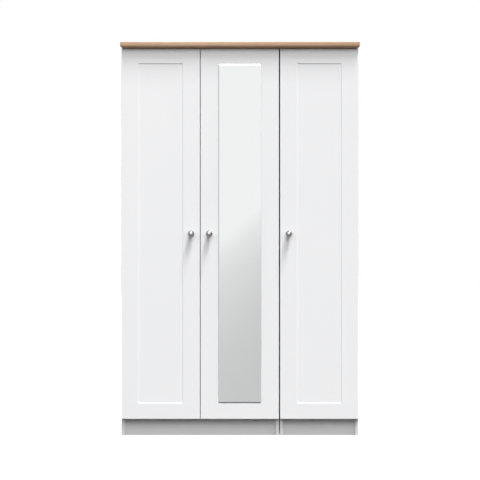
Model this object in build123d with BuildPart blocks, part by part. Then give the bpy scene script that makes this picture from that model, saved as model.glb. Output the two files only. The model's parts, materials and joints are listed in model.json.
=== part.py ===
from build123d import *
import os

os.makedirs("parts", exist_ok=True)

# A three-door wardrobe. A double carcass and a single carcass stand side by side under one
# oak top. Three overlay doors hang on concealed cup hinges, and the middle door carries a mirror.
# Millimetres, +Z up, the doors face -Y, and the origin lies under the middle of the whole object.

# ---- Driving sizes ----------------------------------------------------------------------

door_width = 364.0
carcass_height = 1802.0
carcass_depth = 486.0
board = 15.0  # sides, bottoms, unit tops and shelves
board_ease = 0.8  # softened front edges of the boards
back_thickness = 3.0
back_inset = 1.5  # the back sheets stop short of the outer faces
plinth_height = 77.0
plinth_setback = 22.0

top_thickness = 27.0
top_side_overhang = 5.0
top_front_overhang = 27.0  # past the door faces
top_rear_overhang = 1.0  # past the back sheets
top_round_below = 13.0
top_round_above = 2.0
top_corner_radius = 3.0

door_thickness = 18.0
door_reveal = 1.0  # the door edge stops short of the carcass's outer face
pair_gap = 3.0  # between the two doors of the double unit
unit_gap = 4.0  # between the two carcasses
door_front_gap = 2.0  # between a door's back and the carcass
door_bottom_gap = 1.0  # above the plinth's top edge
door_top_gap = 2.0  # below the oak top
door_edge_round = 1.5

stile_width = 79.0
top_rail_height = 69.0
bottom_rail_height = 73.0
field_depth = 2.5  # sunk field of a door
field_lip_round = 0.6
field_cove = 1.0
field_corner = 4.0

glass_thickness = 4.0
glass_side_gap = 3.0  # in the sunk field of the mirror door
glass_bottom_gap = 1.2
glass_top_gap = 3.0
glass_bevel_width = 5.0
glass_bevel_depth = 1.5

knob_from_edge = 40.5
knob_height = 938.5
knob_diameter = 31.0
knob_reach = 38.0  # from the door's face to the front of the ball
knob_foot_diameter = 17.0
knob_neck_diameter = 11.0
knob_foot_height = 2.5
knob_screw_diameter = 4.0
knob_screw_grip = 9.0  # thread inside the knob
screw_head_diameter = 8.0
screw_head_height = 2.2
screw_clearance = 0.1

bumper_diameter = 8.0
bumper_thickness = 1.7
bumper_from_edge = 20.0

hinge_end_distance = 100.0  # from the door's ends to the outer hinges
hinge_count = 4
cup_diameter = 35.0
cup_tab = 5.0  # wood left between the cup's hole and the door's hinge edge
cup_depth = 12.5
cup_wall = 0.8
cup_lip = 0.6
cup_lip_height = 0.4
cup_wing_thickness = 1.0
cup_wing_width = 13.0
cup_wing_length = 57.0
cup_screw_inset = 9.5  # screw line past the cup's centre
cup_screw_spacing = 45.0
cup_screw_diameter = 3.0
cup_screw_length = 10.0
cup_clearance = 0.1
cup_pivot_inset = 5.4  # cup pivot from the cup's outer wall
cup_pivot_depth = 6.4  # cup pivot below the door's back
arm_pivot_height = 14.4  # arm pivot off the side panel's inner face
arm_pivot_setback = 4.3  # arm pivot behind the carcass's front
pin_diameter = 2.8
pin_clearance = 0.05
link_sagitta = 9.3
link_thickness = 2.0
link_width = 11.0
knuckle_diameter = 5.4

plate_setback = 37.0  # plate screws behind the carcass's front
plate_screw_spacing = 32.0
plate_base = 2.0
plate_wing_length = 50.0
plate_wing_width = 15.0
plate_spine_width = 11.4
plate_spine_length = 48.0
plate_spine_height = 8.0
plate_screw_diameter = 3.6
plate_screw_length = 11.0
arm_sheet = 1.5
arm_width = 15.0
arm_nose_diameter = 8.0
arm_front_height = 19.0  # off the side panel, at the front of the web
arm_rear_height = 14.0
arm_web_start = 6.0  # behind the arm pivot
arm_length = 50.0  # from the arm pivot to its rear end
arm_screw_diameter = 4.0

shelf_height = 1500.0
shelf_setback = 32.0  # behind the carcass's front
shelf_clearance = 0.5
peg_diameter = 5.0
peg_length = 16.0
peg_depth = 8.0
peg_inset = 60.0
peg_clearance = 0.05

rail_drop = 62.0  # rail axis under the shelf
rail_section_width = 15.0
rail_section_height = 30.0
rail_wall = 1.2
rail_end_clearance = 1.0
socket_plate = 2.5
socket_depth = 12.0
socket_wall = 2.0
socket_clearance = 0.2
socket_pin_spacing = 32.0
socket_pin_depth = 8.0

bolt_diameter = 6.0
bolt_head_diameter = 15.0
bolt_head_height = 2.0
bolt_spacer_diameter = 18.0
bolt_heights = (330.0, 1120.0, 1640.0)
bolt_inset = 90.0

# Corner fittings: a bolt in the side, the cam in the board that draws it in, and a dowel.
cam_diameter = 15.0
cam_depth = 11.5
cam_setback = 24.0  # the cam's middle from the board's end
cam_inset = 50.0  # the bolts behind a board's front edge and ahead of its rear edge
cam_slot = 6.0
cam_slot_width = 1.2
cam_slot_depth = 1.5
fitting_bore = 7.0
fitting_bolt_diameter = 6.0
fitting_bolt_depth = 10.0  # in the side
fitting_collar_diameter = 6.6
fitting_collar_length = 1.5
fitting_neck_diameter = 4.5
fitting_head_length = 4.0
dowel_diameter = 8.0
dowel_length = 28.0
dowel_depth = 9.0  # in the side
dowel_chamfer = 0.8
dowel_offset = 32.0  # from the bolt beside it

top_screw_diameter = 4.0
top_screw_bite = 16.0
top_screw_inset = 70.0

# ---- Places worked out from them -----------------------------------------------------------

double_width = 2 * door_width + pair_gap + 2 * door_reveal
single_width = door_width + 2 * door_reveal
body_width = double_width + unit_gap + single_width

double_left = -body_width / 2
double_right = double_left + double_width
single_left = double_right + unit_gap
single_right = single_left + single_width
units = {"double": (double_left, double_right), "single": (single_left, single_right)}

front_reach = max(knob_reach, top_front_overhang)
rear_reach = back_thickness + top_rear_overhang
total_depth = front_reach + door_thickness + door_front_gap + carcass_depth + rear_reach
door_front = front_reach - total_depth / 2
door_back = door_front + door_thickness
carcass_front = door_back + door_front_gap
carcass_back = carcass_front + carcass_depth
rear = carcass_back + rear_reach

door_bottom = plinth_height + door_bottom_gap
door_top = carcass_height - door_top_gap
door_height = door_top - door_bottom
field_width = door_width - 2 * stile_width
field_bottom = door_bottom + bottom_rail_height
field_top = door_top - top_rail_height

hinge_span = door_height - 2 * hinge_end_distance
hinge_heights = [
    door_bottom + hinge_end_distance + hinge_span * i / (hinge_count - 1) for i in range(hinge_count)
]

# Doors by name: hinge edge x, and +1 for a right-hand hinge edge or -1 for a left-hand one.
doors = {
    "left": (double_left + door_reveal, -1),
    "middle": (double_right - door_reveal, 1),
    "right": (single_right - door_reveal, 1),
}


def front_plane(y):
    """An upright plane at depth y that faces the front, with X to the right and Z up."""
    return Plane.XZ.offset(-y)


def side_plane(x):
    """An upright plane at x that faces +X, with Y across and Z up."""
    return Plane.YZ.offset(x)


def finish(builder, label):
    """Labels a finished piece and writes its file."""
    builder.part.label = label
    export_step(builder.part, f"parts/{label}.step")


top_screw_points = {
    unit: [
        (x, y)
        for x in (left + board + top_screw_inset, right - board - top_screw_inset)
        for y in (carcass_front + top_screw_inset, carcass_back - top_screw_inset)
    ]
    for unit, (left, right) in units.items()
}
top_screw_places = top_screw_points["double"] + top_screw_points["single"]

# Where the corner fittings cross from a side into the level boards and the plinth, as (y, z).
cam_rows = (carcass_front + cam_inset, carcass_back - cam_inset)
dowel_rows = (cam_rows[0] + dowel_offset, cam_rows[1] - dowel_offset)
level_middles = (plinth_height + board / 2, carcass_height - board / 2)
plinth_middle_y = carcass_front + plinth_setback + board / 2
plinth_cam_z = (plinth_height - dowel_offset) / 2
plinth_dowel_z = (plinth_height + dowel_offset) / 2
bolt_points = [(y, z) for z in level_middles for y in cam_rows] + [(plinth_middle_y, plinth_cam_z)]
dowel_points = [(y, z) for z in level_middles for y in dowel_rows]
dowel_points.append((plinth_middle_y, plinth_dowel_z))
board_bolt_bore = cam_setback + fitting_head_length / 2 + screw_clearance
board_dowel_bore = dowel_length - dowel_depth + screw_clearance

# ---- Oak top -----------------------------------------------------------------------------

with BuildPart() as top_board:
    top_front = door_front - top_front_overhang
    with BuildSketch(Plane.XY.offset(carcass_height)):
        with Locations((0, (top_front + rear) / 2)):
            Rectangle(body_width + 2 * top_side_overhang, rear - top_front)
    extrude(amount=top_thickness)
    fillet(top_board.edges().filter_by(Axis.Z).group_by(Axis.Y)[0], top_corner_radius)
    under = top_board.faces().sort_by(Axis.Z)[0].edges().sort_by(Axis.Y)[:-1]
    fillet(under, top_round_below)
    upper = top_board.faces().sort_by(Axis.Z)[-1].edges().sort_by(Axis.Y)[:-1]
    fillet(upper, top_round_above)
    with BuildSketch(Plane.XY.offset(carcass_height)):
        with Locations(*top_screw_places):
            Circle((top_screw_diameter + screw_clearance) / 2)
    extrude(amount=top_screw_bite + screw_clearance, mode=Mode.SUBTRACT)
finish(top_board, "top_board")

# ---- Carcasses ----------------------------------------------------------------------------

peg_rows = (carcass_front + shelf_setback + peg_inset, carcass_back - peg_inset)
rail_y = (carcass_front + carcass_back) / 2
rail_z = shelf_height - rail_drop
bolt_rows = (carcass_front + bolt_inset, carcass_back - bolt_inset)
plate_screw_y = carcass_front + plate_setback


def side_panel(label, x, inward, door_name, has_bolts):
    """A side from the floor up, with its outer face at x, drilled for what it carries."""
    inner = x + inward * board
    with BuildPart() as panel:
        with BuildSketch(side_plane(x)):
            with Locations(((carcass_front + carcass_back) / 2, carcass_height / 2)):
                Rectangle(carcass_depth, carcass_height)
        extrude(amount=inward * board)
        fillet(panel.edges().filter_by(Axis.Z).group_by(Axis.Y)[0], board_ease)
        with BuildSketch(side_plane(inner)):
            for y in peg_rows:
                with Locations((y, shelf_height - peg_diameter / 2)):
                    Circle(peg_diameter / 2 + peg_clearance)
            with Locations((rail_y, rail_z)):
                with GridLocations(0, socket_pin_spacing, 1, 2):
                    Circle(peg_diameter / 2 + peg_clearance)
        extrude(amount=-inward * (peg_depth + screw_clearance), mode=Mode.SUBTRACT)
        with BuildSketch(side_plane(inner)):
            with Locations(*bolt_points):
                Circle((fitting_bolt_diameter + screw_clearance) / 2)
        extrude(amount=-inward * (fitting_bolt_depth + screw_clearance), mode=Mode.SUBTRACT)
        with BuildSketch(side_plane(inner)):
            with Locations(*dowel_points):
                Circle((dowel_diameter + screw_clearance) / 2)
        extrude(amount=-inward * (dowel_depth + screw_clearance), mode=Mode.SUBTRACT)
        if door_name:
            with BuildSketch(side_plane(inner)):
                for z in hinge_heights:
                    with Locations((plate_screw_y, z)):
                        with GridLocations(0, plate_screw_spacing, 1, 2):
                            Circle((plate_screw_diameter + screw_clearance) / 2)
            extrude(amount=-inward * (plate_screw_length + screw_clearance), mode=Mode.SUBTRACT)
        if has_bolts:
            with BuildSketch(side_plane(x)):
                for y in bolt_rows:
                    for z in bolt_heights:
                        with Locations((y, z)):
                            Circle((bolt_diameter + screw_clearance) / 2)
            extrude(amount=inward * board, mode=Mode.SUBTRACT)
    finish(panel, label)


side_panel("double_left_side", double_left, 1, "left", False)
side_panel("double_right_side", double_right, -1, "middle", True)
side_panel("single_left_side", single_left, 1, None, True)
side_panel("single_right_side", single_right, -1, "right", False)


def level_board(label, unit, z, cam_face, cam_way, screw_holes):
    """A level board between a unit's sides, with its underside at z and its cams let in at cam_face."""
    left, right = units[unit]
    with BuildPart() as panel:
        with BuildSketch(Plane.XY.offset(z)):
            with Locations(((left + right) / 2, (carcass_front + carcass_back) / 2)):
                Rectangle(right - left - 2 * board, carcass_depth)
        extrude(amount=board)
        fillet(panel.edges().filter_by(Axis.X).group_by(Axis.Y)[0], board_ease)
        for end, inward in ((left + board, 1), (right - board, -1)):
            with BuildSketch(side_plane(end)):
                with Locations(*[(y, z + board / 2) for y in cam_rows]):
                    Circle(fitting_bore / 2)
            extrude(amount=inward * board_bolt_bore, mode=Mode.SUBTRACT)
            with BuildSketch(side_plane(end)):
                with Locations(*[(y, z + board / 2) for y in dowel_rows]):
                    Circle((dowel_diameter + screw_clearance) / 2)
            extrude(amount=inward * board_dowel_bore, mode=Mode.SUBTRACT)
            with BuildSketch(Plane.XY.offset(cam_face)):
                with Locations(*[(end + inward * cam_setback, y) for y in cam_rows]):
                    Circle((cam_diameter + screw_clearance) / 2)
            extrude(amount=cam_way * (cam_depth + screw_clearance), mode=Mode.SUBTRACT)
        if screw_holes:
            with BuildSketch(Plane.XY.offset(z)):
                with Locations(*screw_holes):
                    Circle((top_screw_diameter + screw_clearance) / 2)
            extrude(amount=board, mode=Mode.SUBTRACT)
    finish(panel, label)


for unit, (left, right) in units.items():
    middle = (left + right) / 2
    level_board(f"{unit}_bottom", unit, plinth_height, plinth_height, 1, None)
    top_z = carcass_height - board
    level_board(f"{unit}_top", unit, top_z, carcass_height, -1, top_screw_points[unit])

    with BuildPart() as plinth:
        with BuildSketch(front_plane(carcass_front + plinth_setback)):
            with Locations((middle, plinth_height / 2)):
                Rectangle(right - left - 2 * board, plinth_height)
        extrude(amount=-board)
        for end, inward in ((left + board, 1), (right - board, -1)):
            with BuildSketch(side_plane(end)):
                with Locations((plinth_middle_y, plinth_cam_z)):
                    Circle(fitting_bore / 2)
            extrude(amount=inward * board_bolt_bore, mode=Mode.SUBTRACT)
            with BuildSketch(side_plane(end)):
                with Locations((plinth_middle_y, plinth_dowel_z)):
                    Circle((dowel_diameter + screw_clearance) / 2)
            extrude(amount=inward * board_dowel_bore, mode=Mode.SUBTRACT)
            with BuildSketch(front_plane(plinth_middle_y + board / 2)):
                with Locations((end + inward * cam_setback, plinth_cam_z)):
                    Circle((cam_diameter + screw_clearance) / 2)
            extrude(amount=cam_depth + screw_clearance, mode=Mode.SUBTRACT)
    finish(plinth, f"{unit}_plinth")

    with BuildPart() as back:
        with BuildSketch(front_plane(carcass_back)):
            with Locations((middle, (plinth_height + carcass_height) / 2)):
                Rectangle(right - left - 2 * back_inset, carcass_height - plinth_height)
        extrude(amount=-back_thickness)
    finish(back, f"{unit}_back")

    with BuildPart() as shelf:
        with BuildSketch(Plane.XY.offset(shelf_height)):
            with Locations((middle, (carcass_front + shelf_setback + carcass_back) / 2)):
                Rectangle(
                    right - left - 2 * board - 2 * shelf_clearance, carcass_depth - shelf_setback
                )
        extrude(amount=board)
        fillet(shelf.edges().filter_by(Axis.X).group_by(Axis.Y)[0], board_ease)
    finish(shelf, f"{unit}_shelf")

    with BuildPart() as rail:
        with BuildSketch(side_plane(left + board + socket_plate + rail_end_clearance)):
            with Locations((rail_y, rail_z)):
                SlotOverall(rail_section_height, rail_section_width, rotation=90)
                SlotOverall(
                    rail_section_height - 2 * rail_wall,
                    rail_section_width - 2 * rail_wall,
                    rotation=90,
                    mode=Mode.SUBTRACT,
                )
        extrude(amount=right - left - 2 * (board + socket_plate + rail_end_clearance))
    finish(rail, f"{unit}_rail")

with BuildPart() as pegs:
    for left, right in units.values():
        for inner, inward in ((left + board, 1), (right - board, -1)):
            with BuildSketch(side_plane(inner - inward * peg_depth)):
                for y in peg_rows:
                    with Locations((y, shelf_height - peg_diameter / 2)):
                        Circle(peg_diameter / 2)
            extrude(amount=inward * peg_length)
finish(pegs, "shelf_pegs")

with BuildPart() as sockets:
    for left, right in units.values():
        for inner, inward in ((left + board, 1), (right - board, -1)):
            outer_height = rail_section_height + 2 * (socket_wall + socket_clearance)
            outer_width = rail_section_width + 2 * (socket_wall + socket_clearance)
            with BuildSketch(side_plane(inner)):
                with Locations((rail_y, rail_z)):
                    SlotOverall(socket_pin_spacing + outer_width, outer_width, rotation=90)
            extrude(amount=inward * socket_plate)
            with BuildSketch(side_plane(inner + inward * socket_plate)):
                with Locations((rail_y, rail_z)):
                    SlotOverall(outer_height, outer_width, rotation=90)
                    SlotOverall(
                        rail_section_height + 2 * socket_clearance,
                        rail_section_width + 2 * socket_clearance,
                        rotation=90,
                        mode=Mode.SUBTRACT,
                    )
            extrude(amount=inward * (socket_depth - socket_plate))
            with BuildSketch(side_plane(inner)):
                with Locations((rail_y, rail_z)):
                    with GridLocations(0, socket_pin_spacing, 1, 2):
                        Circle(peg_diameter / 2)
            extrude(amount=-inward * socket_pin_depth)
finish(sockets, "rail_sockets")

# Connecting bolts: a head in each unit, the shank through both sides, and a spacer in the gap.
with BuildPart() as bolts:
    inner_faces = (double_right - board, single_left + board)
    for y in bolt_rows:
        for z in bolt_heights:
            with BuildSketch(side_plane(inner_faces[0] - bolt_head_height)):
                with Locations((y, z)):
                    Circle(bolt_head_diameter / 2)
            extrude(amount=bolt_head_height)
            with BuildSketch(side_plane(inner_faces[0])):
                with Locations((y, z)):
                    Circle(bolt_diameter / 2)
            extrude(amount=inner_faces[1] - inner_faces[0])
            with BuildSketch(side_plane(inner_faces[1])):
                with Locations((y, z)):
                    Circle(bolt_head_diameter / 2)
            extrude(amount=bolt_head_height)
            with BuildSketch(side_plane(double_right)):
                with Locations((y, z)):
                    Circle(bolt_spacer_diameter / 2)
            extrude(amount=unit_gap)
finish(bolts, "connector_bolts")

# Screws up through the unit tops into the oak top.
with BuildPart() as top_screws:
    with BuildSketch(Plane.XY.offset(carcass_height - board)):
        with Locations(*top_screw_places):
            Circle(screw_head_diameter / 2)
    extrude(amount=-screw_head_height)
    with BuildSketch(Plane.XY.offset(carcass_height - board)):
        with Locations(*top_screw_places):
            Circle(top_screw_diameter / 2)
    extrude(amount=board + top_screw_bite)
finish(top_screws, "top_screws")

# A corner fitting is drawn at a side's inner face, with X inward along the bolt.
head_start = cam_setback - fitting_head_length / 2
head_end = cam_setback + fitting_head_length / 2
bolt_outline = [
    (-fitting_bolt_depth, 0),
    (-fitting_bolt_depth, fitting_bolt_diameter / 2),
    (0, fitting_bolt_diameter / 2),
    (0, fitting_collar_diameter / 2),
    (fitting_collar_length, fitting_collar_diameter / 2),
    (fitting_collar_length, fitting_neck_diameter / 2),
    (head_start, fitting_neck_diameter / 2),
    (head_start + fitting_head_length / 4, fitting_collar_diameter / 2),
    (head_end - fitting_head_length / 4, fitting_collar_diameter / 2),
    (head_end, fitting_neck_diameter / 2),
    (head_end, 0),
]
with BuildPart() as fitting_bolt:
    with BuildSketch(Plane.XY):
        with BuildLine():
            Polyline(*bolt_outline, close=True)
        make_face()
    revolve(axis=Axis.X)

with BuildPart() as dowel:
    with BuildSketch(Plane.YZ.offset(-dowel_depth)):
        Circle(dowel_diameter / 2)
    extrude(amount=dowel_length)
    chamfer(dowel.edges().filter_by(GeomType.CIRCLE), dowel_chamfer)

# The cam stands on its open face with Z into the board. Its mouth faces the bolt, along X.
mouth_start = board / 2 - fitting_bore / 2
mouth_reach = fitting_head_length / 2 + screw_clearance
with BuildPart() as cam:
    with BuildSketch(Plane.XY):
        Circle(cam_diameter / 2)
    extrude(amount=cam_depth)
    with BuildSketch(Plane.XY.offset(mouth_start)):
        with Locations(((cam_diameter / 2 - mouth_reach) / 2, 0)):
            Rectangle(cam_diameter / 2 + mouth_reach, fitting_bore)
    extrude(amount=cam_depth - mouth_start, mode=Mode.SUBTRACT)
    with BuildSketch(Plane.XY):
        Rectangle(cam_slot, cam_slot_width)
        Rectangle(cam_slot_width, cam_slot)
    extrude(amount=cam_slot_depth, mode=Mode.SUBTRACT)

corner_turns = [
    (inner, inward, 0 if inward > 0 else 180)
    for left, right in units.values()
    for inner, inward in ((left + board, 1), (right - board, -1))
]
with BuildPart() as fitting_bolts:
    for inner, inward, turn in corner_turns:
        with Locations(*[Location((inner, y, z), (0, 0, turn)) for y, z in bolt_points]):
            add(fitting_bolt.part)
finish(fitting_bolts, "corner_bolts")

with BuildPart() as dowels:
    for inner, inward, turn in corner_turns:
        with Locations(*[Location((inner, y, z), (0, 0, turn)) for y, z in dowel_points]):
            add(dowel.part)
finish(dowels, "corner_dowels")

with BuildPart() as cams:
    for inner, inward, turn in corner_turns:
        cam_x = inner + inward * cam_setback
        with Locations(
            *[Location((cam_x, y, plinth_height), (0, 0, turn + 180)) for y in cam_rows],
            *[Location((cam_x, y, carcass_height), (180, 0, turn + 180)) for y in cam_rows],
            Location((cam_x, plinth_middle_y + board / 2, plinth_cam_z), (90, 0, turn + 180)),
        ):
            add(cam.part)
finish(cams, "corner_cams")

# ---- Concealed hinges ------------------------------------------------------------------------
# Each piece is drawn for a right-hand hinge edge, about the door's front corner there: X runs
# outward past the edge, Y back through the door, and Z is level with the hinge.

cup_inset = cup_tab + cup_diameter / 2
inner_face_x = -(board - door_reveal)
front_edge_y = door_thickness + door_front_gap
cup_pivot = (-(cup_tab + cup_pivot_inset), door_thickness - cup_pivot_depth)
arm_pivot = (inner_face_x - arm_pivot_height, front_edge_y + arm_pivot_setback)
cup_bottom_y = door_thickness - cup_depth
cup_screw_x = -(cup_inset + cup_screw_inset)
cup_pin_edge = cup_diameter / 2 - cup_pivot_inset + pin_diameter / 2
cup_pin_reach = ((cup_diameter / 2) ** 2 - cup_pin_edge**2) ** 0.5 - cup_clearance
plate_y = front_edge_y + plate_setback

with BuildPart() as cup:
    with BuildSketch(Plane.XZ.offset(-cup_bottom_y)):
        with Locations((-cup_inset, 0)):
            Circle(cup_diameter / 2)
    extrude(amount=-cup_depth)
    with BuildSketch(Plane.XZ.offset(-door_thickness)):
        with Locations((-cup_inset, 0)):
            Circle(cup_diameter / 2 + cup_lip)
    extrude(amount=-cup_lip_height)
    with BuildSketch(Plane.XZ.offset(-door_thickness)):
        with Locations((cup_screw_x, 0)):
            SlotOverall(cup_wing_length, cup_wing_width, rotation=90)
        with Locations((cup_screw_x, 0)):
            with GridLocations(0, cup_screw_spacing, 1, 2):
                Circle((cup_screw_diameter + screw_clearance) / 2, mode=Mode.SUBTRACT)
    extrude(amount=-cup_wing_thickness)
    with BuildSketch(Plane.XZ.offset(-(door_thickness + cup_wing_thickness))):
        with Locations((-cup_inset, 0)):
            Circle(cup_diameter / 2 - cup_wall)
    extrude(amount=cup_depth + cup_wing_thickness - cup_wall, mode=Mode.SUBTRACT)
    with BuildSketch(Plane.XY):
        with Locations(cup_pivot):
            Circle(pin_diameter / 2 + pin_clearance)
    extrude(amount=cup_diameter / 2, both=True, mode=Mode.SUBTRACT)

with BuildPart() as cup_pin:
    with BuildSketch(Plane.XY):
        with Locations(cup_pivot):
            Circle(pin_diameter / 2)
    extrude(amount=cup_pin_reach, both=True)

with BuildPart() as cup_screws:
    with BuildSketch(Plane.XZ.offset(-(door_thickness + cup_wing_thickness))):
        with Locations((cup_screw_x, 0)):
            with GridLocations(0, cup_screw_spacing, 1, 2):
                Circle(screw_head_diameter / 2)
    extrude(amount=-screw_head_height)
    with BuildSketch(Plane.XZ.offset(-(door_thickness + cup_wing_thickness))):
        with Locations((cup_screw_x, 0)):
            with GridLocations(0, cup_screw_spacing, 1, 2):
                Circle(cup_screw_diameter / 2)
    extrude(amount=cup_screw_length)

# The link is a bent strap. It hooks down into the cup, so that the door's edge can swing into
# the hook, and it ends in a rolled knuckle on each pin.
with BuildPart() as link:
    with BuildSketch(Plane.XY):
        with BuildLine(mode=Mode.PRIVATE):
            strap_line = SagittaArc(cup_pivot, arm_pivot, link_sagitta)
        SlotArc(strap_line, link_thickness)
        with Locations(arm_pivot, cup_pivot):
            Circle(knuckle_diameter / 2)
        with Locations(arm_pivot, cup_pivot):
            Circle(pin_diameter / 2 + pin_clearance, mode=Mode.SUBTRACT)
    extrude(amount=link_width / 2, both=True)

with BuildPart() as arm_pin:
    with BuildSketch(Plane.XY):
        with Locations(arm_pivot):
            Circle(pin_diameter / 2)
    extrude(amount=arm_width / 2, both=True)

# The arm is a folded channel, open towards the side panel, that straddles the plate's spine.
arm_rear_y = arm_pivot[1] + arm_length
arm_foot_y = plate_y - plate_spine_length / 2
arm_outline = [
    (arm_pivot[0] + arm_nose_diameter / 2, arm_pivot[1]),
    (arm_pivot[0] + arm_nose_diameter / 2, arm_pivot[1] + arm_web_start),
    (inner_face_x - plate_base, arm_foot_y + arm_web_start),
    (inner_face_x - plate_base, arm_rear_y),
    (inner_face_x - arm_rear_height, arm_rear_y),
    (inner_face_x - arm_front_height, arm_pivot[1] + arm_web_start),
    (arm_pivot[0] - arm_nose_diameter / 2, arm_pivot[1]),
]
arm_screw_y = (plate_y + arm_rear_y) / 2

with BuildPart() as arm:
    with BuildSketch(Plane.XY):
        with BuildLine():
            Polyline(*arm_outline, close=True)
        make_face()
        with Locations(arm_pivot):
            Circle(arm_nose_diameter / 2)
    extrude(amount=arm_width / 2, both=True)
    with BuildSketch(Plane.XY):
        with BuildLine():
            Polyline(*[(x + arm_sheet, y) for x, y in arm_outline], close=True)
        make_face()
        with Locations((arm_pivot[0], arm_pivot[1] + arm_web_start / 2 - arm_nose_diameter / 2)):
            Rectangle(2 * arm_nose_diameter, arm_web_start + arm_nose_diameter)
    extrude(amount=arm_width / 2 - arm_sheet, both=True, mode=Mode.SUBTRACT)
    with BuildSketch(Plane.XY):
        with Locations(arm_pivot):
            Circle(pin_diameter / 2 + pin_clearance)
    extrude(amount=arm_width / 2, both=True, mode=Mode.SUBTRACT)
    with BuildSketch(Plane.YZ.offset(inner_face_x - arm_front_height)):
        with Locations((arm_screw_y, 0)):
            Circle((arm_screw_diameter + screw_clearance) / 2)
    extrude(amount=arm_front_height - plate_base, mode=Mode.SUBTRACT)

with BuildPart() as plate:
    with BuildSketch(Plane.YZ.offset(inner_face_x)):
        with Locations((plate_y, 0)):
            SlotOverall(plate_wing_length, plate_wing_width, rotation=90)
            Rectangle(plate_spine_length, arm_width)
            with GridLocations(0, plate_screw_spacing, 1, 2):
                Circle((plate_screw_diameter + screw_clearance) / 2, mode=Mode.SUBTRACT)
    extrude(amount=-plate_base)
    with BuildSketch(Plane.YZ.offset(inner_face_x - plate_base)):
        with Locations((plate_y, 0)):
            Rectangle(plate_spine_length, plate_spine_width)
    extrude(amount=-plate_spine_height)
    with BuildSketch(Plane.YZ.offset(inner_face_x - plate_base - plate_spine_height)):
        with Locations((arm_screw_y, 0)):
            Circle((arm_screw_diameter + screw_clearance) / 2)
    extrude(amount=plate_spine_height, mode=Mode.SUBTRACT)

with BuildPart() as plate_screws:
    with BuildSketch(Plane.YZ.offset(inner_face_x - plate_base)):
        with Locations((plate_y, 0)):
            with GridLocations(0, plate_screw_spacing, 1, 2):
                Circle(screw_head_diameter / 2)
    extrude(amount=-screw_head_height)
    with BuildSketch(Plane.YZ.offset(inner_face_x - plate_base)):
        with Locations((plate_y, 0)):
            with GridLocations(0, plate_screw_spacing, 1, 2):
                Circle(plate_screw_diameter / 2)
    extrude(amount=plate_base + plate_screw_length)

# The arm's screw passes the web into the spine; its head bears on the sloping web's high side.
web_slope = (arm_front_height - arm_rear_height) / (arm_length - arm_web_start)
arm_screw_head_x = inner_face_x - arm_rear_height - web_slope * (
    arm_rear_y - arm_screw_y + screw_head_diameter / 2
)
with BuildPart() as arm_screw:
    with BuildSketch(Plane.YZ.offset(arm_screw_head_x)):
        with Locations((arm_screw_y, 0)):
            Circle(screw_head_diameter / 2)
    extrude(amount=-screw_head_height)
    with BuildSketch(Plane.YZ.offset(arm_screw_head_x)):
        with Locations((arm_screw_y, 0)):
            Circle(arm_screw_diameter / 2)
    extrude(amount=inner_face_x - plate_base - arm_screw_head_x)


def at_hinges(label, piece, door_names):
    """One hinge piece at every hinge of the named doors, mirrored on a left-hand edge."""
    mirrored = mirror(piece.part, about=Plane.YZ, mode=Mode.PRIVATE)
    with BuildPart() as group:
        for name in door_names:
            hinge_x, side = doors[name]
            with Locations(*[(hinge_x, door_front, z) for z in hinge_heights]):
                add(piece.part if side > 0 else mirrored)
    finish(group, label)


at_hinges("hinge_plate_screws", plate_screws, doors)
at_hinges("hinge_arm_screws", arm_screw, doors)
for name in doors:
    at_hinges(f"{name}_hinge_plates", plate, [name])
    at_hinges(f"{name}_hinge_arms", arm, [name])
    at_hinges(f"{name}_arm_pins", arm_pin, [name])
    at_hinges(f"{name}_hinge_links", link, [name])
    at_hinges(f"{name}_cup_pins", cup_pin, [name])
    at_hinges(f"{name}_hinge_cups", cup, [name])
    at_hinges(f"{name}_cup_screws", cup_screws, [name])

# ---- Doors ------------------------------------------------------------------------------------


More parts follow.
